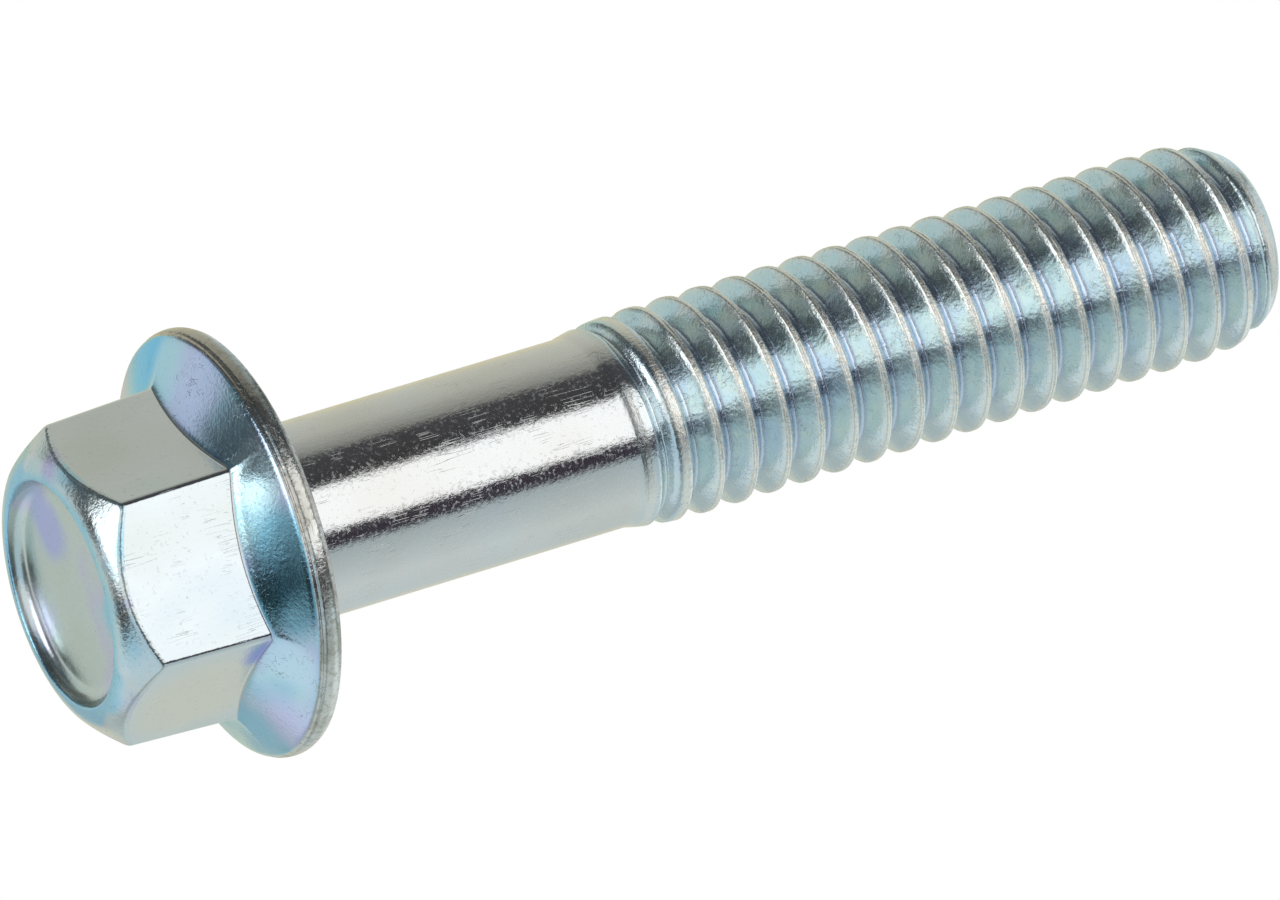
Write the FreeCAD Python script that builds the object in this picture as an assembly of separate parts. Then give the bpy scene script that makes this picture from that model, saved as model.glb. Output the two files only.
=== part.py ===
# Hex flange bolt, M6 by 1 by 30, cold headed with a rolled thread.
# The bolt stands on its head: the origin is at the middle of the head's top,
# +Z runs up the shank to the tip, and one flat of the hexagon faces -Y.
import FreeCAD
import Part
import math
import os

# Head, in millimetres and degrees
head_height = 5.3
across_flats = 7.85
flat_draft = 2.2
hexagon_corner_radius = 0.2
crown_diameter = 6.1
dome_radius = 1.0
chamfer_angle = 42.0
recess_depth = 0.4
recess_wall_angle = 70.0
recess_corner_share = 0.75

# Flange
flange_diameter = 11.6
rim_thickness = 0.75
rim_bulge = 0.18
flange_slope = 25.0

# Shank
length_under_head = 30.0
plain_length = 10.0
underhead_radius = 0.3

# Thread, right-handed, with a run-out into the plain shank and a rounded tip. Rolling lifts its crests
# above the plain shank by the crest rise.
pitch = 1.0
crest_diameter = 5.8
crest_rise = 0.275
thread_depth = 0.57
runout_turns = 3.0
runout_angle = 243.0
tip_length = 1.8
tip_face_diameter = 4.0

# The metric thread form: its crest as a share of the pitch, and half the angle between its flanks
crest_share = 0.125
half_flank_angle = 30.0

# The most that a short cone turns where several stand for a round stretch of a turned profile
cone_angle = 26.0

# Clearances of the cutting shapes
cutter_clearance = 0.02
cutter_exit = 0.025
envelope_clearance = 0.1

crown_radius = crown_diameter / 2
flange_radius = flange_diameter / 2
rim_edge_radius = flange_radius - rim_bulge
crest_radius = crest_diameter / 2
shank_radius = crest_radius - crest_rise
root_radius = crest_radius - thread_depth
tip_face_radius = tip_face_diameter / 2
bearing_z = head_height
rim_z = bearing_z - rim_thickness
runout_z = bearing_z + plain_length
joint_z = bearing_z + plain_length / 2
full_thread_z = runout_z + runout_turns * pitch
tip_z = bearing_z + length_under_head
groove_angle = runout_angle + 360 * runout_turns


def point(radius, z):
    return FreeCAD.Vector(radius, 0, z)


def tan(degrees):
    return math.tan(math.radians(degrees))


def sin(degrees):
    return math.sin(math.radians(degrees))


def cos(degrees):
    return math.cos(math.radians(degrees))


def line(start, end):
    return Part.LineSegment(start, end).toShape()


def arc(start, middle, end):
    return Part.Arc(start, middle, end).toShape()


def turned_arc(centre, radius, from_angle, to_angle):
    """A round stretch of a turned profile as a few short cones, with angles from straight down outwards."""
    cones = math.ceil(abs(to_angle - from_angle) / cone_angle)
    angles = [from_angle + (to_angle - from_angle) * cone / cones for cone in range(cones + 1)]
    spots = [centre + radius * point(sin(a), -cos(a)) for a in angles]
    return [line(here, following) for here, following in zip(spots, spots[1:])]


def round_arc(centre, radius, from_angle, to_angle):
    """A round stretch of a turned profile, with angles from straight down outwards."""
    angles = (from_angle, (from_angle + to_angle) / 2, to_angle)
    return arc(*[centre + radius * point(sin(a), -cos(a)) for a in angles])


def end_of(edge):
    return edge.Vertexes[-1].Point


def start_of(edge):
    return edge.Vertexes[0].Point


def revolved(edges):
    """A solid turned about the Z axis from a profile that starts and ends on the axis."""
    closing = line(end_of(edges[-1]), start_of(edges[0]))
    face = Part.Face(Part.Wire(edges + [closing]))
    return face.revolve(FreeCAD.Vector(), FreeCAD.Vector(0, 0, 1), 360)


def recess_edges():
    """The recess from its middle out to the crown: floor, rounded corner and sloping wall."""
    turn = 1 - cos(recess_wall_angle)
    corner_radius = recess_corner_share * recess_depth
    wall_z = recess_depth - corner_radius * turn
    wall_x = crown_radius - wall_z / tan(recess_wall_angle)
    centre = point(wall_x - corner_radius * sin(recess_wall_angle), recess_depth - corner_radius)
    corner = turned_arc(centre, corner_radius, 180, 180 - recess_wall_angle)
    floor = line(point(0, recess_depth), start_of(corner[0]))
    wall = line(end_of(corner[-1]), point(crown_radius, 0))
    return [floor] + corner + [wall]


def crown_solid():
    """The turned form of the head's top: recess, crown and domed chamfer, wider than the hexagon."""
    dome_centre = point(crown_radius, dome_radius)
    dome = turned_arc(dome_centre, dome_radius, 0, chamfer_angle)
    inner = end_of(dome[-1])
    outer = point(flange_radius, inner.z + (flange_radius - inner.x) * tan(chamfer_angle))
    shoulder = point(flange_radius, rim_z)
    edges = recess_edges() + dome + [line(inner, outer), line(outer, shoulder)]
    edges += [line(shoulder, point(0, rim_z))]
    return revolved(edges)


def hexagon_wire(z):
    """The hexagon at one height: its flats lean in towards the top of the head by the draft."""
    half_flats = across_flats / 2 - (rim_z - z) * tan(flat_draft)
    reach = (half_flats - hexagon_corner_radius) / cos(30)
    corners = []
    for side in range(6):
        azimuth = 60 * side
        centre = FreeCAD.Vector(reach * cos(azimuth), reach * sin(azimuth), z)
        spots = []
        for turn in (azimuth - 30, azimuth, azimuth + 30):
            spots.append(centre + hexagon_corner_radius * FreeCAD.Vector(cos(turn), sin(turn), 0))
        corners.append(arc(*spots))
    edges = []
    for here, following in zip(corners, corners[1:] + corners[:1]):
        edges += [here, line(end_of(here), start_of(following))]
    return Part.Wire(edges)


def hexagon_solid():
    """The six-sided head that the wrench grips, cut to the crown's form."""
    prism = Part.makeLoft([hexagon_wire(0), hexagon_wire(rim_z)], True, True)
    return prism.common(crown_solid())


def flange_solid():
    """The round flange: a sloping face, a bulging rim and the flat bearing face."""
    slope_top = point(shank_radius, rim_z - (rim_edge_radius - shank_radius) * tan(flange_slope))
    half_angle = 2 * math.degrees(math.atan(2 * rim_bulge / rim_thickness))
    bulge_radius = rim_thickness / 2 / sin(half_angle)
    centre = point(flange_radius - bulge_radius, (rim_z + bearing_z) / 2)
    rim = turned_arc(centre, bulge_radius, 90 - half_angle, 90 + half_angle)
    edges = [line(point(0, slope_top.z), slope_top), line(slope_top, start_of(rim[0]))]
    edges += rim + [line(end_of(rim[-1]), point(0, bearing_z))]
    return revolved(edges)


def head_solid():
    """Hexagon and flange as one forging."""
    return hexagon_solid().fuse(flange_solid()).removeSplitter()


def plain_shank():
    """The lower half of the plain shank, with the fillet under the head."""
    fillet_centre = point(shank_radius + underhead_radius, bearing_z + underhead_radius)
    fillet = turned_arc(fillet_centre, underhead_radius, 0, -90)
    root = point(fillet_centre.x, rim_z)
    top = point(shank_radius, joint_z)
    edges = [line(point(0, rim_z), root), line(root, start_of(fillet[0]))]
    edges += fillet + [line(end_of(fillet[-1]), top), line(top, point(0, joint_z))]
    return revolved(edges)


def rolled_envelope():
    """What rolling leaves of the bar: plain shank, run-out cone and rounded tip.

    Between them it stands clear of the crests, so the cone and the tip cross the crests at an angle.
    The tip is part of a ball centred on the axis.
    """
    clear = crest_radius + envelope_clearance
    rise_per_length = (crest_radius - shank_radius) / (full_thread_z - runout_z)
    runout_low = point(shank_radius, runout_z)
    runout_high = point(clear, runout_z + (clear - shank_radius) / rise_per_length)
    low_height = (clear ** 2 - tip_face_radius ** 2 - tip_length ** 2) / (2 * tip_length)
    high_height = low_height + tip_length
    tip_radius = math.hypot(clear, low_height)
    low_angle = 90 + math.degrees(math.atan2(low_height, clear))
    high_angle = 90 + math.degrees(math.atan2(high_height, tip_face_radius))
    tip = round_arc(point(0, tip_z - high_height), tip_radius, low_angle, high_angle)
    low = point(shank_radius, joint_z)
    edges = [line(point(0, joint_z), low), line(low, runout_low), line(runout_low, runout_high)]
    edges += [line(runout_high, start_of(tip)), tip, line(end_of(tip), point(0, tip_z))]
    return revolved(edges)


def groove_section():
    """One groove between two crests, in the plane through the axis.

    Its flanks keep the thread's angle down to half the depth, and below that they close in on the
    root, which stands for the real one's small radius.
    """
    knee = thread_depth / 2
    crest_half = pitch * (1 - crest_share) / 2
    knee_half = crest_half - knee * tan(half_flank_angle)
    top_half = crest_half + cutter_clearance * tan(half_flank_angle)
    spots = [
        point(root_radius, 0),
        point(root_radius + knee, -knee_half),
        point(crest_radius + cutter_clearance, -top_half),
        point(crest_radius + cutter_clearance, top_half),
        point(root_radius + knee, knee_half),
    ]
    return Part.makePolygon(spots + spots[:1])


def swept_groove(path):
    """The groove's section carried along a helix, and set where the full thread starts."""
    sweep = Part.BRepOffsetAPI.MakePipeShell(Part.Wire(path))
    sweep.setBiNormalMode(FreeCAD.Vector(0, 0, 1))
    sweep.add(groove_section())
    sweep.build()
    sweep.makeSolid()
    groove = sweep.shape()
    groove.rotate(FreeCAD.Vector(), FreeCAD.Vector(0, 0, 1), groove_angle)
    groove.translate(FreeCAD.Vector(0, 0, full_thread_z))
    return groove


def full_groove():
    """The groove at its full depth, by whole turns up past the tip."""
    turns = math.ceil((tip_z - full_thread_z) / pitch) + 1
    return swept_groove(Part.makeHelix(pitch, turns * pitch, root_radius))


def runout_groove():
    """The end of the groove, which climbs out of the shank as it nears the head."""
    length = runout_turns * pitch
    climb = shank_radius + cutter_exit - root_radius
    path = Part.makeHelix(pitch, length, root_radius, math.degrees(math.atan(climb / length)))
    path.rotate(FreeCAD.Vector(), FreeCAD.Vector(1, 0, 0), 180)
    return swept_groove(path)


def threaded_shank():
    """The groove is cut in a bar that is longer than the thread, and the bar is then trimmed."""
    bar = Part.makeCylinder(crest_radius, tip_z + 3 * pitch - joint_z, FreeCAD.Vector(0, 0, joint_z))
    envelope = rolled_envelope()
    for shape in (bar, envelope):
        shape.rotate(FreeCAD.Vector(), FreeCAD.Vector(0, 0, 1), groove_angle + 180)
    return bar.cut(full_groove()).cut(runout_groove()).common(envelope)


def flange_bolt():
    """Head, plain shank and thread as one piece of steel."""
    return head_solid().fuse([plain_shank(), threaded_shank()]).removeSplitter()


os.makedirs("parts", exist_ok=True)
bolt = flange_bolt()
bolt.exportStep("parts/flange_bolt.step")
print("solids", len(bolt.Solids), "faces", len(bolt.Faces), "volume", round(bolt.Volume, 3))
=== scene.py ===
# Hex flange bolt, M6 by 30, standing on its head: looks, light and camera
import bpy
import math
import numpy as np
from mathutils import Matrix


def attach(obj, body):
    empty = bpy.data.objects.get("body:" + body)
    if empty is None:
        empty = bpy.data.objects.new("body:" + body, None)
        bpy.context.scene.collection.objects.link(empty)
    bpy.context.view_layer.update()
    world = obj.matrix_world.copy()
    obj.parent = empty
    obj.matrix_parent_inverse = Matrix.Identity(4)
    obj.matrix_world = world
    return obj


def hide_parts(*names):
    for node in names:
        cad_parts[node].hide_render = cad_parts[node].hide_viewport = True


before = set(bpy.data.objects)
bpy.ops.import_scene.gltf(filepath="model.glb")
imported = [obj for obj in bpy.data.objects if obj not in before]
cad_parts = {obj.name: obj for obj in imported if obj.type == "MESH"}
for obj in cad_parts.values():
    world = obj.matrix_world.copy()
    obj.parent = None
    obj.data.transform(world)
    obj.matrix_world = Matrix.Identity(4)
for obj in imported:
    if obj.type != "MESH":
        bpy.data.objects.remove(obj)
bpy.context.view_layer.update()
print("frame loaded")

mm = 0.001
surfaces = ["recess", "hexagon", "flange", "rim", "bearing", "crown", "shank"]  # in the materials' order


def linear(colour):
    # sRGB hex to linear red, green, blue and alpha. A number is a grey that is linear already
    if not isinstance(colour, str):
        return [colour] * 3 + [1.0]
    parts = [int(colour[k:k + 2], 16) / 255 for k in (0, 2, 4)]
    return [p / 12.92 if p <= 0.04045 else ((p + 0.055) / 1.055) ** 2.4 for p in parts] + [1.0]


def addNode(tree, kind, links=None, out=0, stops=(), **settings):
    # one node with its settings: each input is linked from a socket or set to a value, and stops are the
    # (place, colour) of a colour ramp. Gives back the node's output of that number, name or slice
    node = tree.nodes.new("ShaderNode" + kind)
    for name, value in settings.items():
        setattr(node, name, value)
    for socket, source in (links or {}).items():
        if isinstance(source, bpy.types.NodeSocket):
            tree.links.new(source, node.inputs[socket])
        else:
            node.inputs[socket].default_value = source
    if stops:
        elements = node.color_ramp.elements
        while len(elements) < len(stops):
            elements.new(1.0)
        for element, (place, colour) in zip(elements, stops):
            element.position = place
            element.color = linear(colour)
    return node.outputs[out] if len(node.outputs) else node


def smoothMin(a, b, width):
    # the lesser of two arrays, with the corner between them rounded over that width
    return 0.5 * (a + b - np.sqrt((a - b) ** 2 + width ** 2))


def wobble(x, y, z, layers):
    # slow unevenness: for each layer (size in mm, seed, height) five crossed sine waves with fixed
    # directions, sin(a x + b y + c z + phase), add up to about the height at most
    total = np.zeros(np.broadcast(x, y, z).shape)
    for size, seed, height in layers:
        rng = np.random.default_rng(seed)
        for _ in range(5):
            ax, ay, az = rng.normal(size=3) / size
            total = total + np.sin(ax * x + ay * y + az * z + rng.uniform(0, 6.28)) * height / 5
    return total


def spread(count):
    # steps from 0 to 1 without the two ends, closer together near them: half of 1 - cos(pi u)
    return (0.5 - 0.5 * np.cos(np.pi * np.linspace(0, 1, count)))[1:-1]


def meshFromGrid(points, shift, groups, extras):
    # rows by columns of points in mm, closed around the columns. With a shift, the last column meets
    # the first one that many rows further on, as one turn of a helix meets the next. Points on the
    # axis become one pole at each end, and triangles that shrink to nothing there are dropped
    rows, columns = points.shape[:2]
    index = np.arange(rows * columns).reshape(rows, columns)
    onAxis = np.hypot(points[..., 0], points[..., 1]) < 1e-6
    for end in (slice(0, rows // 2), slice(rows // 2, rows)):
        index[end][onAxis[end]] = index[end][onAxis[end]][:1]
    right = np.full((rows, columns), -1)
    right[:, :-1] = index[:, 1:]
    right[:rows - shift, -1] = index[shift:, 0]
    a, b, c, d = index[:-1], right[:-1], right[1:], index[1:]
    triangles = np.concatenate([np.stack(corners, -1).reshape(-1, 3) for corners in ((a, b, c), (a, c, d))])
    group = np.tile(np.repeat(groups[:-1], columns), 2)
    t = triangles
    keep = (t >= 0).all(1) & (t[:, 0] != t[:, 1]) & (t[:, 1] != t[:, 2]) & (t[:, 0] != t[:, 2])
    used, triangles = np.unique(triangles[keep], return_inverse=True)
    return {"points": points.reshape(-1, 3)[used], "triangles": triangles.reshape(-1, 3),
            "group": group[keep], "extras": {key: value.reshape(-1)[used] for key, value in extras.items()}}


def buildObject(name, shells, materials):
    # several closed shells as one mesh object, in metres
    counts = np.cumsum([0] + [len(s["points"]) for s in shells])
    points = np.concatenate([s["points"] for s in shells]) * mm
    triangles = np.concatenate([s["triangles"] + n for s, n in zip(shells, counts)])
    group = np.concatenate([s["group"] for s in shells])
    mesh = bpy.data.meshes.new(name)
    mesh.vertices.add(len(points))
    mesh.vertices.foreach_set("co", points.reshape(-1).astype(np.float32))
    mesh.loops.add(triangles.size)
    mesh.loops.foreach_set("vertex_index", triangles.reshape(-1).astype(np.int32))
    mesh.polygons.add(len(triangles))
    mesh.polygons.foreach_set("loop_start", np.arange(0, triangles.size, 3, dtype=np.int32))
    mesh.update(calc_edges=True)
    mesh.validate()
    for material in materials:
        mesh.materials.append(material)
    mesh.polygons.foreach_set("material_index", group.astype(np.int32))
    mesh.polygons.foreach_set("use_smooth", np.ones(len(triangles), dtype=bool))
    for key in shells[0]["extras"]:
        values = np.concatenate([s["extras"][key] for s in shells])
        mesh.attributes.new(key, "FLOAT", "POINT").data.foreach_set("value", values.astype(np.float32))
    obj = bpy.data.objects.new(name, mesh)
    bpy.context.scene.collection.objects.link(obj)
    return obj


# head: a turned profile whose wall follows the hexagon. Lengths in mm, angles in degrees
head = {
    "height": 5.3, "acrossFlats": 7.85, "draft": 2.2, "cornerRadius": 0.26,
    "crownRadius": 3.05, "domeRadius": 1.0, "chamfer": 42.0, "recessDepth": 0.4, "recessWall": 70.0,
    "flangeRadius": 5.8, "rimEdge": 5.62, "rimThickness": 0.75, "slope": 25.0,
    "recessFillet": 0.3, "crownRound": 0.06, "edgeRound": 0.11,
    "rootRound": 0.17, "rootReach": 0.85,  # fillet at the hexagon's foot, up the flat and down the slope
    "rimBend": 0.08, "rimTrim": 0.12, "bearingTrim": 0.1,
    "rimCrease": 0.03, "creaseWidth": 0.035, "creasePlace": 0.17,  # line that trimming leaves round the rim
    "ridge": 0.015, "ridgeWidth": 1.1,  # raised line on the slope at each corner
    "ridgeRise": (4.3, 0.3), "ridgeFade": (5.5, 0.9), "ridgeZ": (3.4, 4.7),
    "uneven": [(1.3, 4, 0.012), (0.45, 9, 0.004)],  # layers of (size, seed, height)
    "unevenFrom": 3.0, "unevenShort": 0.4, "pullIn": 0.005, "unevenOut": 0.01, "unevenAlong": 0.8,
    "bearingInner": 2.6, "plugRadius": 2.3, "plugDepth": 0.3,  # closed inside the shank
    "flatEnd": 28.4, "flatColumns": 24, "cornerColumns": 8,
}


def hexagonRadius(angle, z):
    # distance from the axis to the rounded, drafted hexagon: flat distance over cosine, or the corner's arc
    lean = math.tan(math.radians(head["draft"]))
    h = head["acrossFlats"] / 2 - (head["height"] - head["rimThickness"] - z) * lean
    t = np.radians(np.abs((np.degrees(angle) + 90 + 30) % 60 - 30))
    rc = head["cornerRadius"]
    c = (h - rc) / math.cos(math.radians(30))
    fromCorner = np.radians(30) - t
    reach = np.arctan2((h - rc) * math.tan(math.radians(30)), h)
    onArc = c * np.cos(fromCorner) + np.sqrt(np.maximum(rc ** 2 - (c * np.sin(fromCorner)) ** 2, 0))
    return np.where(t < reach, h / np.cos(t), onArc)


def headColumns():
    # column angles, close together at the six corners
    end = head["flatEnd"]
    flat = end * np.sin(np.radians(np.linspace(-90, 90, head["flatColumns"] + 1)[:-1]))
    corner = np.linspace(end, 60 - end, head["cornerColumns"] + 1)[:-1]
    return np.radians(np.concatenate([part + 60 * k for k in range(6) for part in (flat, corner)]) - 90)


def bend(before, corner, after, size, count, sizeAfter=None):
    # a rounded corner in count rows: the curve (1-t)^2 A + 2t(1-t) C + t^2 B, where A and B are that far
    # from the corner C towards the stations before and after it
    def toward(p, q):
        d = q - p
        return d / np.linalg.norm(d, axis=-1, keepdims=True)
    a = corner + toward(corner, before) * size
    b = corner + toward(corner, after) * (sizeAfter or size)
    t = np.linspace(0, 1, count)[:, None, None]
    return (1 - t) ** 2 * a + 2 * t * (1 - t) * corner + t ** 2 * b


def straight(p, q, count, trimStart, trimEnd=0.0):
    # rows on the line between two stations, from one trim to the other
    d = q - p
    length = np.linalg.norm(d, axis=-1, keepdims=True)
    return p + d * (trimStart + spread(count)[:, None, None] * (length - trimStart - trimEnd)) / length


def crownHeight(r):
    # z of the head's domed chamfer at a radius: a circle's arc from the crown ring, then a cone
    turn = math.radians(head["chamfer"])
    dome = head["domeRadius"]
    out = r - head["crownRadius"]
    arcEnd = dome * math.sin(turn)
    onArc = dome - np.sqrt(dome ** 2 - np.clip(out, 0, arcEnd) ** 2)
    return onArc + np.maximum(out - arcEnd, 0) * math.tan(turn)


def headShell():
    # stations of (radius, z) for every column angle, from the middle of the recess to the bearing face.
    # The counts in bend and straight are rows
    h = head
    angle = headColumns()
    parts, groups = [], []

    def pair(r, z):
        return np.stack(np.broadcast_arrays(r, z, angle)[:2], -1).astype(float)

    def add(stretch, surface):
        parts.append(stretch)
        groups.extend([surfaces.index(surface)] * len(stretch))

    # where the chamfer meets the hexagon, and the hexagon meets the flange's slope, each found step by step
    rimZ = h["height"] - h["rimThickness"]
    slope = math.tan(math.radians(h["slope"]))
    rCut, zFoot = np.full(len(angle), 4.0), np.full(len(angle), 3.8)
    for _ in range(12):
        rCut = hexagonRadius(angle, crownHeight(rCut))
        zFoot = rimZ - (h["rimEdge"] - hexagonRadius(angle, zFoot)) * slope
    edgeTop = pair(rCut, crownHeight(rCut))
    edgeFoot = pair(hexagonRadius(angle, zFoot), zFoot)
    rimTop = pair(h["rimEdge"], rimZ)

    # recess: floor, fillet, wall and the crown ring's round
    wallFoot = h["crownRadius"] - h["recessDepth"] / math.tan(math.radians(h["recessWall"]))
    axis, foot = pair(0, h["recessDepth"]), pair(wallFoot, h["recessDepth"])
    crown, crownAhead = pair(h["crownRadius"], 0), pair(h["crownRadius"] + 1, 0)
    outward = np.linspace(0, 1, 26)[1:-1, None, None] * (1 - h["recessFillet"] / wallFoot)
    add(axis[None], "recess")
    add(axis + (foot - axis) * outward, "recess")
    add(bend(axis, foot, crown, h["recessFillet"], 10), "recess")
    add(straight(foot, crown, 6, h["recessFillet"], h["crownRound"]), "recess")
    add(bend(foot, crown, crownAhead, h["crownRound"], 6), "crown")

    # domed chamfer, its rounded edge, the flats and the fillet at their foot
    sine = np.minimum((rCut - h["crownRadius"]) / h["domeRadius"], math.sin(math.radians(h["chamfer"])))
    tangent = np.stack([np.sqrt(1 - sine ** 2), sine], -1)
    rStart, rEnd = h["crownRadius"] + h["crownRound"], rCut - h["edgeRound"] * tangent[:, 0]
    rDome = rStart + (rEnd - rStart) * spread(18)[:, None]
    add(np.stack([rDome, crownHeight(rDome)], -1), "crown")
    add(bend(edgeTop - tangent, edgeTop, edgeFoot, h["edgeRound"], 8), "crown")
    zStart, zEnd = edgeTop[:, 1] + h["edgeRound"], edgeFoot[:, 1] - h["rootRound"]
    z = zStart + (zEnd - zStart) * spread(18)[:, None]
    add(np.stack([hexagonRadius(angle, z), z], -1), "hexagon")
    root = bend(edgeTop, edgeFoot, rimTop, h["rootRound"], 16, h["rootReach"])
    add(root[:3], "hexagon")
    add(root[3:], "flange")
    add(straight(edgeFoot, rimTop, 14, h["rootReach"], h["rimTrim"]), "flange")

    # rim: rounded upper edge, a bulge that is a circle's arc with a crease in it, rounded lower edge
    half, bulge = h["rimThickness"] / 2, h["flangeRadius"] - h["rimEdge"]
    bulgeRadius = (half ** 2 + bulge ** 2) / (2 * bulge)
    turn = np.linspace(-1, 1, 26) * math.asin(half / bulgeRadius)
    middle = pair(h["flangeRadius"] - bulgeRadius, h["height"] - half)
    arc = middle + bulgeRadius * np.stack([np.cos(turn), np.sin(turn)], -1)[:, None]
    bulged = arc[3:-4].copy()
    offCrease = (bulged[..., 1] - rimZ - h["creasePlace"]) / h["creaseWidth"]
    bulged[..., 0] -= h["rimCrease"] * np.exp(-offCrease ** 2)
    bearingInner = pair(h["bearingInner"], h["height"])
    add(bend(edgeFoot, arc[0], arc[1], h["rimBend"], 5), "flange")
    add(bulged, "rim")
    add(bend(arc[-2], arc[-1], bearingInner, h["rimBend"], 5), "rim")
    add(straight(arc[-1], bearingInner, 14, h["bearingTrim"]), "bearing")
    for radius in (h["plugRadius"], 0):
        add(pair(radius, h["height"] - h["plugDepth"])[None], "bearing")

    # forging leaves the rim, the slope and the flats a little uneven, and a ridge at each corner
    profile = np.concatenate(parts)
    r, z = profile[..., 0], profile[..., 1]
    x, y = r * np.cos(angle), r * np.sin(angle)
    fade = np.clip(r - h["unevenFrom"], 0, 1) * np.clip((h["height"] - z) / h["unevenShort"], 0, 1)
    uneven = wobble(x, y, z, h["uneven"])
    inward = 1 - fade * (h["pullIn"] + h["unevenOut"] * uneven)
    z = z + fade * uneven * h["unevenAlong"]
    (rise, riseWidth), (fall, fallWidth), (zLow, zHigh) = h["ridgeRise"], h["ridgeFade"], h["ridgeZ"]
    onSlope = np.clip((r - rise) / riseWidth, 0, 1) * np.clip((fall - r) / fallWidth, 0, 1)
    onSlope = onSlope * (z > zLow) * (z < zHigh)
    fromCorner = (np.degrees(angle) + 90) % 60 - 30
    z = np.maximum(z - h["ridge"] * onSlope * np.exp(-(fromCorner / h["ridgeWidth"]) ** 2), 0)
    extras = dict.fromkeys(("crest", "root", "threaded"), np.zeros(r.shape))
    return meshFromGrid(np.stack([x * inward, y * inward, z], -1), 0, np.array(groups), extras)


# shank and thread: one helical grid that starts inside the head. Lengths in mm, angles in degrees
shank = {
    "radius": 2.625, "fillet": 0.3, "pitch": 1.0, "crestRadius": 2.9, "depth": 0.61, "flank": 30.0,
    "crestHalf": 0.076, "crestRound": 0.03, "rootRound": 0.06,
    "crestAzimuth": -96.7, "crestPlace": 0.5556,  # a crest line passes here, this far under the head
    "ragged": [(0.35, 31, 1.0), (0.12, 32, 0.6)], "raggedHalf": 0.019,  # crests that wander in width
    "crease": 0.025, "creaseWidth": 0.014, "creaseVaries": (0.6, 1.4),
    "nicks": [(0.2, 33, 1.0)], "nickDepth": 0.006, "crestBand": 0.1,
    "runoutStart": 15.35, "runoutLean": 0.22, "leanAzimuth": 173.0,  # where the shank starts to swell
    "runoutRise": 0.285, "runoutReach": 1.0, "blend": 0.3,
    "grooveStart": 15.45, "grooveFull": 17.8, "grooveLift": 0.4, "liftMost": 1.6, "liftPower": 1.15,
    "envelopeGap": 0.004, "envelopeRound": 0.03,
    "tip": 35.3, "tipStart": 33.3, "tipFall": 0.178, "endRound": 0.3, "endShare": 0.9, "dish": 0.12,
    "plainTurns": 1.3, "faceTurns": 0.9, "poleTurns": 2.2,  # rows of the plain shank, the face and the pole
    "discBeyond": 0.1, "discDepth": 0.35, "filletStart": -12.0,  # closed inside the head
    "crestMask": (1.15, 0.1), "rootMask": (0.5, 0.08), "threadedFrom": (15.5, 0.9),
    "uneven": [(1.6, 21, 0.004), (0.4, 22, 0.0015)], "unevenMost": 0.004,
    "meanRadius": 2.7, "evenFace": 0.5, "evenFoot": 0.7, "columns": 96,
}
# rows over half a pitch, close together at the crest's edges and in the root
pitchSteps = np.array([
    0.0, 0.012, 0.025, 0.04, 0.055, 0.075, 0.11, 0.18, 0.26, 0.34, 0.375, 0.4, 0.425, 0.46])


def threadProfile(v, crestHalf, crease):
    # drop below the crest at a distance v from its middle, in pitches: a crest with a shallow crease
    # where the rolled metal met, 60 degree flanks and a narrow root with small corners
    s = shank
    v = np.abs((v + 0.5) % 1.0 - 0.5) * s["pitch"]
    line = (v - crestHalf) / math.tan(math.radians(s["flank"]))
    line = 0.5 * (line + np.sqrt(line ** 2 + s["crestRound"] ** 2))
    return smoothMin(line + crease * np.exp(-(v / s["creaseWidth"]) ** 2), s["depth"], s["rootRound"])


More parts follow.
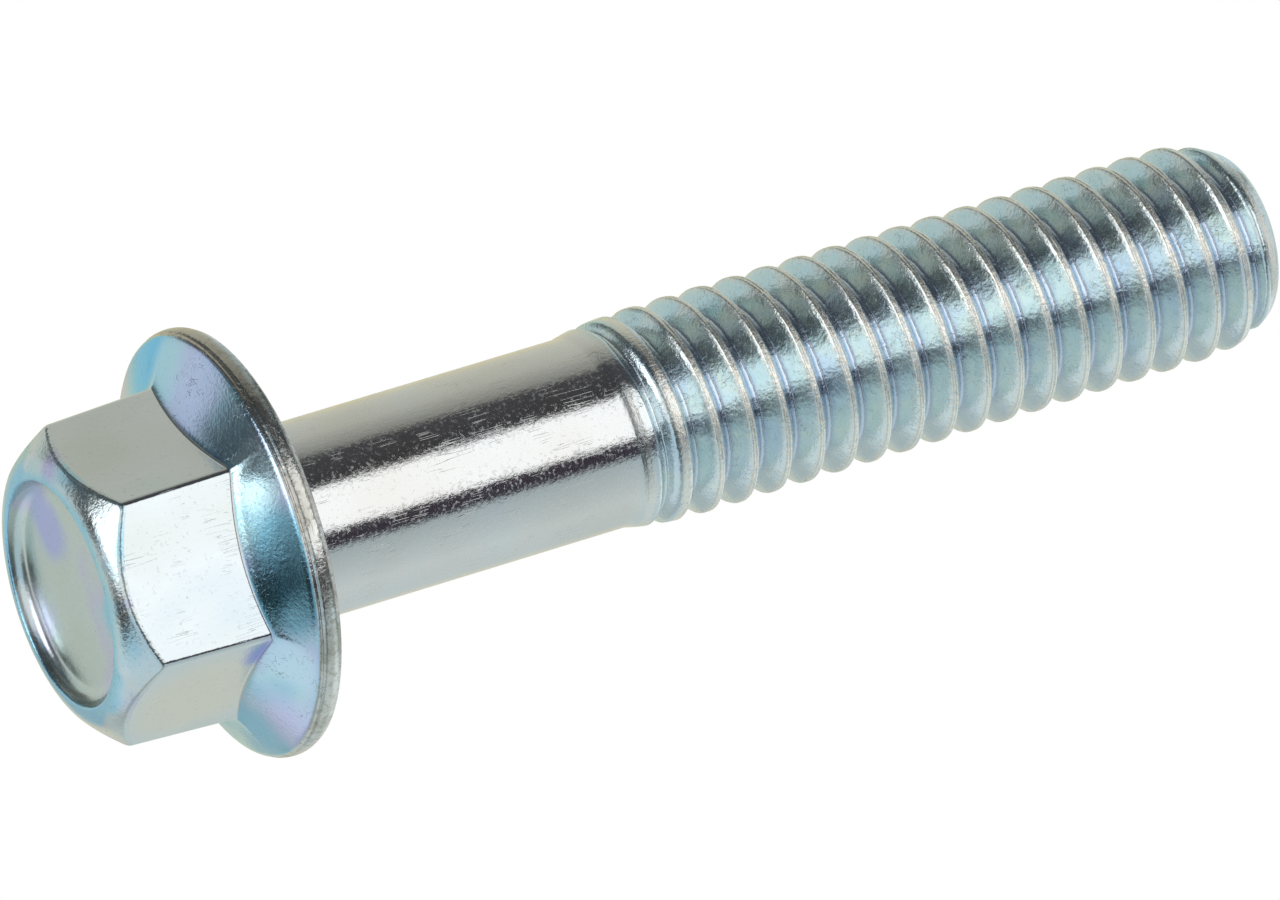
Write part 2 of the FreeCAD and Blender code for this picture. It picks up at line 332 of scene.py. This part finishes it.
def shankShell():
    # radius and z follow one path by the turns since its start, q = the row's turns + the column's share
    # of a turn, so each row is one turn of a helix and its last column meets the row a pitch further on
    s = shank
    steps = np.concatenate([pitchSteps, [0.5], 1 - pitchSteps[:0:-1]])

    # the path: on the axis inside the head, disc, fillet, plain shank, thread, end face, on the axis again
    f, bearing = s["fillet"], head["height"]
    turn = np.radians(np.linspace(s["filletStart"], 90, 12))
    discTurn, filletTurn, plainTurn = 1.6, 1.7, 2.6
    threadTurn = plainTurn + s["plainTurns"]
    threadZ = s["runoutStart"] - s["blend"]
    tipTurn = threadTurn + (s["tip"] - threadZ) / s["pitch"]
    discR, discZ = s["radius"] + f + s["discBeyond"], bearing - s["discDepth"]
    turnsAt = [0.0, 1.0, discTurn, *np.linspace(filletTurn, plainTurn, 12), threadTurn,
               tipTurn, tipTurn + s["faceTurns"], tipTurn + s["poleTurns"]]
    pathR = [0.0, 0.0, discR, *(s["radius"] + f - f * np.sin(turn)), s["radius"], s["radius"], 0.0, 0.0]
    pathZ = [discZ, discZ, discZ, *(bearing + f - f * np.cos(turn)), threadZ, s["tip"], s["tip"], s["tip"]]
    wholeTurns = math.ceil(tipTurn + s["poleTurns"])
    rowTurns = (np.arange(wholeTurns)[:, None] + steps).reshape(-1)
    columnTurns = np.arange(s["columns"]) / s["columns"]
    q = rowTurns[:, None] + columnTurns
    r, z = np.interp(q, turnsAt, pathR), np.interp(q, turnsAt, pathZ)
    onPath = (q >= threadTurn) & (q <= tipTurn)

    # the first angle is turned so that row 0 of each turn runs along a crest, where the phase is whole
    crestZ, crestAngle = bearing + s["crestPlace"], math.radians(s["crestAzimuth"])
    firstAngle = crestAngle + 2 * math.pi * ((threadZ - threadTurn - crestZ) / s["pitch"])
    angle = np.broadcast_to(firstAngle + 2 * math.pi * columnTurns, q.shape)
    phase = (z - crestZ) / s["pitch"] - (angle - crestAngle) / (2 * math.pi)
    crestX, crestY = np.cos(angle) * s["crestRadius"], np.sin(angle) * s["crestRadius"]
    onCrest = (crestX, crestY, np.round(phase) * s["pitch"])  # the same for a crest and the flanks beside it
    ragged = wobble(*onCrest, s["ragged"])
    least, varies = s["creaseVaries"]
    crease = s["crease"] * np.clip(least + varies * ragged, 0, 2)
    drop = threadProfile(phase, s["crestHalf"] + s["raggedHalf"] * ragged, crease)
    drop = drop + s["nickDepth"] * np.clip(wobble(*onCrest, s["nicks"]), 0, 1) * (drop < s["crestBand"])

    # run-out: the groove lifts until it has gone, under an envelope that sinks to the shank and leans
    share = 1 - (z - s["grooveStart"]) / (s["grooveFull"] - s["grooveStart"])
    lift = s["grooveLift"] * np.clip(share, 0, s["liftMost"]) ** s["liftPower"]
    lean = s["runoutLean"] * (1 - np.cos(angle - math.radians(s["leanAzimuth"])))
    rise = 1 - np.exp(-np.maximum(z - s["runoutStart"] - lean, 0) / s["runoutReach"])
    envelope = np.minimum(s["radius"] + s["runoutRise"] * rise, s["crestRadius"])

    # tip: the crests fall with the square of the way, and the end's edge is rounded into the face
    tipCurve = s["crestRadius"] - s["tipFall"] * np.maximum(z - s["tipStart"], 0) ** 2
    inside = np.clip(s["endRound"] - (s["tip"] - z), 0, s["endRound"])
    fall = s["endRound"] - np.sqrt(np.maximum(s["endRound"] ** 2 - inside ** 2, 0))
    envelope = np.minimum(envelope, tipCurve - fall * s["endShare"])
    groove = s["crestRadius"] - drop + lift
    threaded = smoothMin(groove, envelope + s["envelopeGap"], s["envelopeRound"])
    blendIn = np.clip((z - threadZ) / s["blend"], 0, 1)
    blended = s["radius"] * (1 - blendIn) + np.minimum(threaded, envelope) * blendIn
    r = np.where(onPath, blended, r)

    # end face: a slightly dished disc that starts where the edge left off
    endRadius = (s["crestRadius"] - s["tipFall"] * (s["tip"] - s["tipStart"]) ** 2
                 - s["endRound"] * s["endShare"])
    face = np.clip((q - tipTurn) / s["faceTurns"], 0, 1)
    r = np.where(q > tipTurn, endRadius * (1 - face), r)
    z = np.where(q > tipTurn, s["tip"] - s["dish"] * (1 - (1 - face) ** 2), z)

    # shares for the material: crest lines, root lines and all that is thread
    (crestTop, crestFade), (rootStart, rootFade) = s["crestMask"], s["rootMask"]
    threadedStart, threadedWidth = s["threadedFrom"]
    crest = np.clip(crestTop - drop / crestFade, 0, 1) * np.clip(z - s["grooveStart"], 0, 1) * onPath
    root = np.clip((drop - lift - rootStart) / rootFade, 0, 1) * onPath
    threadedShare = np.clip((z - threadedStart) / threadedWidth, 0, 1) * (q > threadTurn)

    # drawing and rolling leave it a little uneven, always inwards
    x, y = r * np.cos(angle), r * np.sin(angle)
    outside = (r > s["evenFace"]) & (z > bearing + s["evenFoot"])
    inward = (wobble(x, y, z, s["uneven"]) - s["unevenMost"]) / s["meanRadius"]
    scale = np.where(outside, 1 + inward, 1.0)
    groups = np.full(len(rowTurns), surfaces.index("shank"))
    extras = {"crest": crest, "root": root, "threaded": threadedShare}
    return meshFromGrid(np.stack([x * scale, y * scale, z], -1), len(steps), groups, extras)


# plating: what every surface shares. Places and lengths in mm, scales per mm, heights in hundredths of a mm
plating = {
    "along": 1, "patches": [], "rings": [],  # (azimuth, radius, z, size, colour) and (radius, width, colour)
    "spotEdge": (1.2, 0.35, 0.9), "ringEdge": (0.6, 0.3, 0.85),  # how far it wanders, full inside, most
    "grainDetail": 6.0, "grainRoughness": 0.62, "grainSpan": (0.3, 0.7), "speckEdge": 0.14,
    "lineWidth": (0.012, 0.002), "lineScale": 1.1, "lineGaps": (0.54, 0.62), "lineColour": "6f7672",
}


def platedLayer(tree, place, look):
    # colour, roughness and height of one plated surface: film and its patches, grain, specks, scratches
    stretched = addNode(tree, "Mapping", {"Vector": place, "Scale": look["grain"]})
    grain = addNode(tree, "TexNoise", {"Vector": stretched, "Scale": 1.0, "Detail": look["grainDetail"],
                                       "Roughness": look["grainRoughness"]})
    patch = addNode(tree, "TexNoise", {"Vector": place, "Scale": look["patchScale"], "Detail": 2.0,
                                       "Roughness": 0.5, "Distortion": 0.25})
    colour = addNode(tree, "ValToRGB", {"Fac": patch}, stops=look["film"])

    # patches: how far a point is from the middle of a spot or from a ring, with an edge that wanders
    films = []
    for azimuth, radius, z, size, tint in look["patches"]:
        turn = math.radians(azimuth)
        middle = (radius * math.cos(turn), radius * math.sin(turn), z * look["along"])
        squeezed = addNode(tree, "Mapping", {"Vector": place, "Scale": (1, 1, look["along"])})
        away = addNode(tree, "VectorMath", {0: squeezed, 1: middle}, out="Value", operation="DISTANCE")
        films.append((away, size, tint, look["spotEdge"]))
    for radius, width, tint in look["rings"]:
        flat = addNode(tree, "VectorMath", {0: place, 1: (1, 1, 0)}, operation="MULTIPLY")
        outward = addNode(tree, "VectorMath", {0: flat}, out="Value", operation="LENGTH")
        away = addNode(tree, "Math", {0: outward, 1: radius}, operation="SUBTRACT")
        away = addNode(tree, "Math", {0: away}, operation="ABSOLUTE")
        films.append((away, width, tint, look["ringEdge"]))
    for away, size, tint, (wander, full, most) in films:
        drift = addNode(tree, "Math", {0: patch, 1: -2 * wander, 2: wander}, operation="MULTIPLY_ADD")
        away = addNode(tree, "Math", {0: away, 1: drift}, operation="ADD")
        share = addNode(tree, "MapRange", {"Value": away, "From Min": size, "From Max": size * full,
                                           "To Max": most}, interpolation_type="SMOOTHSTEP")
        colour = addNode(tree, "Mix", {0: share, 6: colour, 7: linear(tint)}, out=2, data_type="RGBA")

    specks = addNode(tree, "TexNoise", {"Vector": place, "Scale": look["speckScale"], "Detail": 2.0,
                                        "Roughness": 0.6})
    speckMask = addNode(tree, "MapRange", {"Value": specks, "From Min": look["speckFrom"],
                                           "From Max": look["speckFrom"] + look["speckEdge"]})
    stain = addNode(tree, "Math", {0: speckMask, 1: look["stain"]}, operation="MULTIPLY")
    colour = addNode(tree, "Mix", {0: stain, 6: colour, 7: linear(look["speckColour"])}, out=2,
                     data_type="RGBA")

    # scratches: the level line of a noise drawn out along the bolt, broken into strokes by a second noise
    (wide, sharp), (gapEnd, lineStart) = look["lineWidth"], look["lineGaps"]
    drawnOut = addNode(tree, "Mapping", {"Vector": place, "Scale": look["scratch"]})
    level = addNode(tree, "TexNoise", {"Vector": drawnOut, "Scale": 1.0, "Detail": 1.0})
    offLine = addNode(tree, "Math", {0: level, 1: 0.5}, operation="SUBTRACT")
    offLine = addNode(tree, "Math", {0: offLine}, operation="ABSOLUTE")
    line = addNode(tree, "MapRange", {"Value": offLine, "From Min": wide, "From Max": sharp})
    broken = addNode(tree, "TexNoise", {"Vector": place, "Scale": look["lineScale"], "Detail": 2.0})
    broken = addNode(tree, "MapRange", {"Value": broken, "From Min": gapEnd, "From Max": lineStart})
    stroke = addNode(tree, "Math", {0: line, 1: broken}, operation="MULTIPLY")
    marked = addNode(tree, "Math", {0: stroke, 1: look["scratchShade"]}, operation="MULTIPLY")
    colour = addNode(tree, "Mix", {0: marked, 6: colour, 7: linear(look["lineColour"])}, out=2,
                     data_type="RGBA")

    # the specks are rougher and stand a little proud, and a scratch is as deep as it is dark
    (low, high), (least, most) = look["grainSpan"], look["rough"]
    rough = addNode(tree, "MapRange", {"Value": grain, "From Min": low, "From Max": high,
                                       "To Min": least, "To Max": most})
    rough = addNode(tree, "Math", {0: speckMask, 1: look["speckRough"], 2: rough}, operation="MULTIPLY_ADD")
    height = addNode(tree, "Math", {0: specks, 1: look["speckHeight"]}, operation="MULTIPLY")
    height = addNode(tree, "Math", {0: stroke, 1: -2 * look["scratchShade"], 2: height},
                     operation="MULTIPLY_ADD")
    height = addNode(tree, "Math", {0: grain, 1: look["grainDepth"], 2: height}, operation="MULTIPLY_ADD")
    return {"colour": colour, "rough": rough, "height": height}


def zincPlating(name, look, thread=None):
    # bright zinc over steel with a thin passivation film, as bare metal. With a thread's look as well, the
    # drawn wire turns into rolled thread by the mesh's own shares
    material = bpy.data.materials.new(name)
    material.use_nodes = True
    tree = material.node_tree
    tree.nodes.clear()
    inMetres = addNode(tree, "TexCoord", out="Object")
    place = addNode(tree, "VectorMath", {0: inMetres, 3: 1000.0}, operation="SCALE")
    layer = platedLayer(tree, place, look)
    if thread:
        rolled = platedLayer(tree, place, thread)
        threaded, crest, root = (
            addNode(tree, "Attribute", out="Fac", attribute_name=share)
            for share in ("threaded", "crest", "root"))
        for key in ("rough", "height"):
            layer[key] = addNode(tree, "Mix", {0: threaded, 2: layer[key], 3: rolled[key]})
        # pale worn crests with small chips, and bluer root lines
        chips = addNode(tree, "TexNoise", {"Vector": place, "Scale": thread["chipScale"], "Detail": 5.0,
                                           "Roughness": 0.7})
        (unworn, fullyWorn), leastWorn = thread["wornFrom"], thread["leastWorn"]
        worn = addNode(tree, "MapRange", {"Value": chips, "From Min": unworn, "From Max": fullyWorn,
                                          "To Min": leastWorn, "To Max": 1.0})
        crestShare = addNode(tree, "Math", {0: crest, 1: worn}, operation="MULTIPLY")
        for share, colour in ((threaded, rolled["colour"]), (root, linear(thread["rootColour"])),
                              (crestShare, linear(thread["crestColour"]))):
            layer["colour"] = addNode(tree, "Mix", {0: share, 6: layer["colour"], 7: colour}, out=2,
                                      data_type="RGBA")
        chipped = addNode(tree, "Math", {0: chips, 1: crest}, operation="MULTIPLY")
        layer["height"] = addNode(tree, "Math", {0: chipped, 1: thread["chipDepth"], 2: layer["height"]},
                                  operation="MULTIPLY_ADD")
    bump = addNode(tree, "Bump", {"Strength": 1.0, "Distance": 0.01 * mm, "Height": layer["height"]})
    shader = addNode(tree, "BsdfPrincipled", {"Base Color": layer["colour"], "Metallic": 1.0,
                                              "Roughness": layer["rough"], "Normal": bump})
    addNode(tree, "OutputMaterial", {"Surface": shader})
    return material


# stamped recess: greyish satin with one violet and one blue patch, so the dish reads as softly mirrored
recessLook = dict(
    plating, grain=(4, 4, 4), grainDepth=0.25, rough=(0.17, 0.26), patchScale=0.3,
    speckScale=9.0, speckFrom=0.62, speckHeight=0.35, speckRough=0.1, speckColour="9aa39e", stain=0.3,
    film=[(0.34, "ccd9d2"), (0.5, "cfdcda"), (0.6, "cfd2e6"), (0.7, "c2dee6")],
    patches=[(165, 1.6, 0.4, 1.3, "b8c0f4"), (-75, 2.9, 0.3, 1.0, "98d6f0")],
    scratch=(3, 3, 3), scratchShade=0.0)

# domed crown: brighter, with a clear blue ring along the recess's edge that draws its outline
crownLook = dict(
    plating, grain=(5, 5, 5), grainDepth=0.3, rough=(0.13, 0.22), patchScale=0.5,
    speckScale=9.0, speckFrom=0.6, speckHeight=1.0, speckRough=0.15, speckColour="9fb0b4", stain=0.3,
    film=[(0.3, "b0daea"), (0.45, "d6e4e8"), (0.6, "d6dedc"), (0.72, "c8cde6")],
    patches=[(160, 3.6, 0.2, 1.2, "9fd2ea"), (-160, 3.4, 0.1, 0.9, "c4c4ea")],
    rings=[(3.1, 0.42, "98d4f0")],
    scratch=(6, 6, 6), scratchShade=0.2)

# headed hexagon: smooth and near white, with a warm flat below and faint short scratches
headLook = dict(
    plating, grain=(9, 9, 0.9), grainDepth=0.11, rough=(0.1, 0.15), patchScale=0.3,
    speckScale=8.0, speckFrom=0.62, speckHeight=0.35, speckRough=0.1, speckColour="9aa29e", stain=0.25,
    film=[(0.3, "d6dcda"), (0.55, "dde5e8"), (0.75, "cfdde4")],
    patches=[(-28, 4.0, 2.4, 2.6, "e6e2d4"), (-50, 4.2, 4.1, 0.8, "a4a6ea"), (150, 3.9, 3.4, 0.8, "b9c4de")],
    scratch=(8, 8, 0.3), scratchShade=0.045)

# forged flange: the strongest film, which drifts round the slope from sky blue to violet and deep teal; the
# deep teal patches are partly film tint and partly painted shade of a dark reflection
flangeLook = dict(
    plating, grain=(4, 4, 4), grainDepth=0.35, rough=(0.12, 0.2), patchScale=0.3,
    speckScale=10.0, speckFrom=0.6, speckHeight=0.6, speckRough=0.15, speckColour="7f9cae", stain=0.3,
    film=[(0.3, "90cde8"), (0.42, "bfe2ea"), (0.55, "c6cbea"), (0.66, "b4dce8"), (0.8, "d2e4e6")],
    patches=[(168, 5.2, 4.3, 2.3, "66d2ff"), (-172, 4.8, 4.2, 1.3, "bceaff"),
             (-150, 5.0, 4.2, 1.9, "ccdaff"), (-131, 4.9, 4.2, 1.5, "9cbcd0"),
             # the darker teal patches at -92 and -72 degrees: partly film tint, partly painted shade of the
             # dark reflection on that side of the slope
             (-113, 4.8, 4.2, 1.3, "cdeef8"), (-92, 4.9, 4.2, 1.5, "84c4dc"),
             (-72, 4.9, 4.2, 1.4, "74aabc"), (-50, 4.9, 4.2, 1.3, "cce8f8"),
             (-26, 5.2, 4.3, 1.9, "d4d6fa"), (-6, 4.8, 4.2, 1.5, "9ed8f2"),
             (60, 4.9, 4.2, 2.4, "c3cdec"), (110, 5.0, 4.2, 2.2, "a6dcea")],
    scratch=(4, 4, 4), scratchShade=0.25)

# trimmed rim: neutral grey, coarser and duller than the rest, with scratches that run round it
rimLook = dict(
    plating, grain=(4, 4, 6), grainDepth=0.8, rough=(0.12, 0.24), patchScale=0.9,
    speckScale=6.0, speckFrom=0.5, speckHeight=1.2, speckRough=0.1, speckColour="858278", stain=0.4,
    film=[(0.32, "bdbcb4"), (0.55, "d8dad6"), (0.72, "ccd4d4")],
    patches=[(-168, 5.8, 4.9, 2.4, "b4b2a8"), (-142, 5.8, 4.9, 1.7, "b0aea6")],
    scratch=(2, 2, 7), scratchShade=0.3)

# bearing face: plain and smooth, a little bluer than the flats
bearingLook = dict(
    headLook, grain=(5, 5, 5), film=[(0.3, "bdd3da"), (0.55, "d3dcda"), (0.75, "c1c4dc")])

# drawn shank: the smoothest, almost a mirror, neutral, with rough specks that glint in the dark bands
shankLook = dict(
    plating, grain=(7, 7, 3.0), grainDepth=0.25, rough=(0.08, 0.13), patchScale=0.3,
    speckScale=10.5, speckFrom=0.53, speckHeight=0.42, speckRough=0.24, speckColour="c0bcb4", stain=0.1,
    film=[(0.3, "dcdcd8"), (0.55, "e0e2e2"), (0.75, "dae2e6")],
    scratch=(8, 8, 0.25), scratchShade=0.1)

# rolled thread: pale blue satin flanks, warm white worn crests and cooler roots
threadLook = dict(
    plating, grain=(5, 5, 5), grainDepth=0.6, rough=(0.14, 0.23), patchScale=0.6,
    speckScale=9.0, speckFrom=0.6, speckHeight=1.1, speckRough=0.2, speckColour="a9b8bb", stain=0.3,
    film=[(0.3, "d6e7ea"), (0.42, "dbeaec"), (0.48, "dfebe9"), (0.53, "dceaee"), (0.7, "d5e4ee")],
    along=0.02,  # its patches run the length of the thread
    patches=[(198, 3.0, 25, 0.9, "e0e3da"), (182, 2.9, 25, 1.4, "c8e6ee"), (-15, 2.9, 25, 1.3, "d2e2e8")],
    scratch=(5, 5, 5), scratchShade=0.3, crestColour="f3f0e6", rootColour="cfdeee",
    chipScale=7.0, chipDepth=2.2, wornFrom=(0.38, 0.55), leastWorn=0.25)

materials = [
    zincPlating("zincOnStampedRecess", recessLook), zincPlating("zincOnHeadedHexagon", headLook),
    zincPlating("zincOnForgedFlange", flangeLook), zincPlating("zincOnTrimmedRim", rimLook),
    zincPlating("zincOnBearingFace", bearingLook), zincPlating("zincOnDomedCrown", crownLook),
    zincPlating("zincOnDrawnAndRolledShank", shankLook, threadLook),
]
print("materials made:", len(materials))

bolt = buildObject("bolt", [headShell(), shankShell()], materials)
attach(bolt, "root")
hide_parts("flange_bolt")
print("bolt built with", len(bolt.data.polygons), "triangles")


# the photograph's view: angles in degrees, lengths in mm, and aim is where the target stands in the view
view = {
    "azimuth": -96.7, "below": 23.3618, "roll": -16.9449, "distance": 417.49, "lens": 452.9,
    "aim": (-10.333, 2.311), "target": 5.3,
}

# what the metal mirrors: strips of a soft grey room as (degrees round the bolt from the camera, colour).
# Heights are the z of the direction, from -1 straight down to 1 straight up
room = {
    # level with the bolt: a bright panel by the camera and a dark strip each side of it
    "level": [(-180, "dcd8c0"), (-160, "dad5b6"), (-140, "cfcfc2"), (-104, "c0c0b6"), (-76, "92928c"),
              (-69, "464548"), (-33, "3a393b"), (-27, 1.25), (19, 1.25), (22.5, "39333e"), (40, "39333e"),
              (44, "b2bec2"), (100, "d6dedd"), (145, "ccd6d6"), (165, "d8d8c8"), (180, "dcd8c0")],
    # above it, seen by the thread's flanks
    "high": [(-180, "dce8ea"), (-150, "d6e6ea"), (-104, "bccdd2"), (-76, "8a989c"), (-66, "484e54"),
             (-36, "3a4046"), (-25, 1.45), (16, 1.45), (24, "3c4048"), (37, "4c565e"), (50, "d0e0e6"),
             (100, "f4fafa"), (145, "e8f0f0"), (180, "dce8ea")],
    # below it, seen by the flange and the foot of the hexagon
    "low": [(-180, "dcdccf"), (-160, "d4d8d6"), (-128, "c6cecf"), (-113, "48545a"), (-58, "3a464c"),
            (-38, "9fb4c4"), (-26, 0.95), (20, 0.95), (30, "b0ccde"), (70, "c2d4dc"), (145, "dfe7ea"),
            (180, "dcdccf")],
    # dark borders of the panels, seen by the rounded edges, and their share by height
    "edge": [(-180, "d2d8d6"), (-147, "d0d2ca"), (-136, "6c6e6a"), (-120, "626462"), (-106, "5a5e5e"),
             (-80, "383c3e"), (-31, "303437"), (-20, 0.3), (14, 0.3), (26, "303437"), (50, "484c4e"),
             (85, "a8b2b2"), (180, "c0c6c4")],
    "edgeHeight": [(-0.48, 0.0), (-0.38, 1.0), (-0.1, 1.0), (0.0, 0.0), (0.72, 0.0), (0.78, 1.0),
                   (0.86, 1.0), (0.93, 0.0)],
    # straight down, by the direction's y: the far and the near half, seen by the crown and the recess
    "beyond": [(-0.6, "b8b8ae"), (-0.46, "3a4245"), (-0.26, "343c40"), (-0.2, 1.0), (-0.12, 0.9),
               (0.0, 0.4), (0.1, 0.16), (0.18, 0.03), (0.33, 0.03), (0.42, "b4c0c0")],
    "nearer": [(-0.62, "8a8c86"), (-0.5, 1.5), (0.0, 1.4), (0.12, 0.6), (0.2, 0.1), (0.27, 0.02),
               (0.42, 0.015), (0.52, "b4c0c0")],
    "overhead": "d9dcdf",
    # heights between which one band turns into the next
    "highFrom": (0.46, 0.54), "lowFrom": (-0.4, -0.5), "overheadFrom": (0.88, 0.97),
    "downFrom": (-0.86, -0.93), "nearerFrom": (-0.06, 0.06),
    # soft spots: azimuth, elevation, outer and inner half width, share, grey
    "spots": [(-134, -61, 18, 9, 0.88, 0.06), (-53, -67, 20, 13, 1.0, 2.1)],
}


def studioWorld():
    # white behind the bolt and for matt surfaces, and the room for reflections alone
    world = bpy.data.worlds.new("softStudio")
    bpy.context.scene.world = world
    world.use_nodes = True
    tree = world.node_tree
    tree.nodes.clear()
    direction = addNode(tree, "TexCoord", out="Generated")
    fromCamera = math.radians(-view["azimuth"])
    turned = addNode(tree, "VectorRotate", {"Vector": direction, "Angle": fromCamera}, rotation_type="Z_AXIS")
    x, y, height = addNode(tree, "SeparateXYZ", {"Vector": turned}, out=slice(3))
    around = addNode(tree, "Math", {0: y, 1: x}, operation="ARCTAN2")

    def strips(value, low, high, stops):
        # colours along one measure of the direction, from low to high
        share = addNode(tree, "MapRange", {"Value": value, "From Min": low, "From Max": high})
        stops = [((place - low) / (high - low), colour) for place, colour in stops]
        return addNode(tree, "ValToRGB", {"Fac": share}, stops=stops)

    def over(colour, value, span, added):
        # the added colour takes over while the value goes through the span
        share = addNode(tree, "MapRange", {"Value": value, "From Min": span[0], "From Max": span[1]})
        return addNode(tree, "Mix", {0: share, 6: colour, 7: added}, out=2, data_type="RGBA")

    level, high, low, edge = (
        strips(around, -math.pi, math.pi, [(math.radians(place), colour) for place, colour in room[band]])
        for band in ("level", "high", "low", "edge"))
    colour = over(level, height, room["highFrom"], high)
    colour = over(colour, height, room["lowFrom"], low)
    edgeShare = strips(height, -1, 1, room["edgeHeight"])
    colour = addNode(tree, "Mix", {0: edgeShare, 6: colour, 7: edge}, out=2, data_type="RGBA")
    colour = over(colour, height, room["overheadFrom"], linear(room["overhead"]))
    beyond, nearer = (strips(y, -1, 1, room[part]) for part in ("beyond", "nearer"))
    colour = over(colour, height, room["downFrom"], over(beyond, x, room["nearerFrom"], nearer))
    for azimuth, elevation, outer, inner, most, grey in room["spots"]:
        a, e, outer, inner = (math.radians(turn) for turn in (azimuth, elevation, outer, inner))
        middle = (math.cos(e) * math.cos(a), math.cos(e) * math.sin(a), math.sin(e))
        toward = addNode(tree, "VectorMath", {0: turned, 1: middle}, out="Value", operation="DOT_PRODUCT")
        share = addNode(tree, "MapRange", {"Value": toward, "From Min": math.cos(outer),
                                           "From Max": math.cos(inner), "To Max": most})
        colour = addNode(tree, "Mix", {0: share, 6: colour, 7: linear(grey)}, out=2, data_type="RGBA")
    mirrored = addNode(tree, "LightPath", out="Is Glossy Ray")
    white = addNode(tree, "Background", {"Color": linear(1.0), "Strength": 1.0})
    walls = addNode(tree, "Background", {"Color": colour, "Strength": 1.0})
    addNode(tree, "OutputWorld", {"Surface": addNode(tree, "MixShader", {0: mirrored, 1: white, 2: walls})})


floorLook = {"halfWidth": 0.6, "colour": "f4f4f2"}  # metres


def paleFloor():
    # seen from above only: a pale matt sheet that takes the bolt's soft shadow. From below, and in
    # reflections, it is clear, so that the head that stands on it is lit and seen
    w = floorLook["halfWidth"]
    mesh = bpy.data.meshes.new("floor")
    mesh.from_pydata([(-w, -w, 0), (w, -w, 0), (w, w, 0), (-w, w, 0)], [], [(0, 1, 2, 3)])
    floor = bpy.data.objects.new("floor", mesh)
    bpy.context.scene.collection.objects.link(floor)
    material = bpy.data.materials.new("paleMattSheet")
    material.use_nodes = True
    tree = material.node_tree
    tree.nodes.clear()
    seen = addNode(tree, "LightPath", out="Is Camera Ray")
    back = addNode(tree, "NewGeometry", out="Backfacing")
    front = addNode(tree, "Math", {0: 1.0, 1: back}, operation="SUBTRACT")
    share = addNode(tree, "Math", {0: seen, 1: front}, operation="MULTIPLY")
    matt = addNode(tree, "BsdfDiffuse", {"Color": linear(floorLook["colour"])})
    clear = addNode(tree, "BsdfTransparent")
    addNode(tree, "OutputMaterial", {"Surface": addNode(tree, "MixShader", {0: share, 1: clear, 2: matt})})
    mesh.materials.append(material)


def photoCamera():
    # the bolt's axis and two directions across it, seen with the tilt and roll, give the camera's right,
    # down and forward directions. Its place is the target less the aim and the distance along them
    tilt, roll, azimuth = (math.radians(view[key]) for key in ("below", "roll", "azimuth"))
    up = np.array([0, 0, 1.0])
    toCamera = np.array([math.cos(azimuth), math.sin(azimuth), 0])
    across = np.array([-math.sin(azimuth), math.cos(azimuth), 0])
    a = (math.cos(tilt) * math.cos(roll), math.cos(tilt) * math.sin(roll), math.sin(tilt))
    b = (math.sin(tilt) * math.cos(roll), math.sin(tilt) * math.sin(roll), -math.cos(tilt))
    c = (-math.sin(roll), math.cos(roll), 0)
    right, down, forward = (a[k] * up + b[k] * toCamera + c[k] * across for k in range(3))
    aimRight, aimDown = view["aim"]
    place = view["target"] * up - aimRight * right - aimDown * down - view["distance"] * forward
    camera = bpy.data.objects.new("camera", bpy.data.cameras.new("camera"))
    bpy.context.scene.collection.objects.link(camera)
    bpy.context.scene.camera = camera
    camera.data.sensor_fit = "HORIZONTAL"
    camera.data.sensor_width = 36
    camera.data.lens = view["lens"]
    camera.data.clip_start = 0.01
    camera.data.clip_end = 10
    columns = np.stack([right, -down, -forward, place * mm], 1)
    camera.matrix_world = Matrix(np.vstack([columns, [0, 0, 0, 1]]).tolist())


studioWorld()
paleFloor()
photoCamera()
bpy.context.scene.view_settings.view_transform = "Standard"
print("light, floor and camera set")
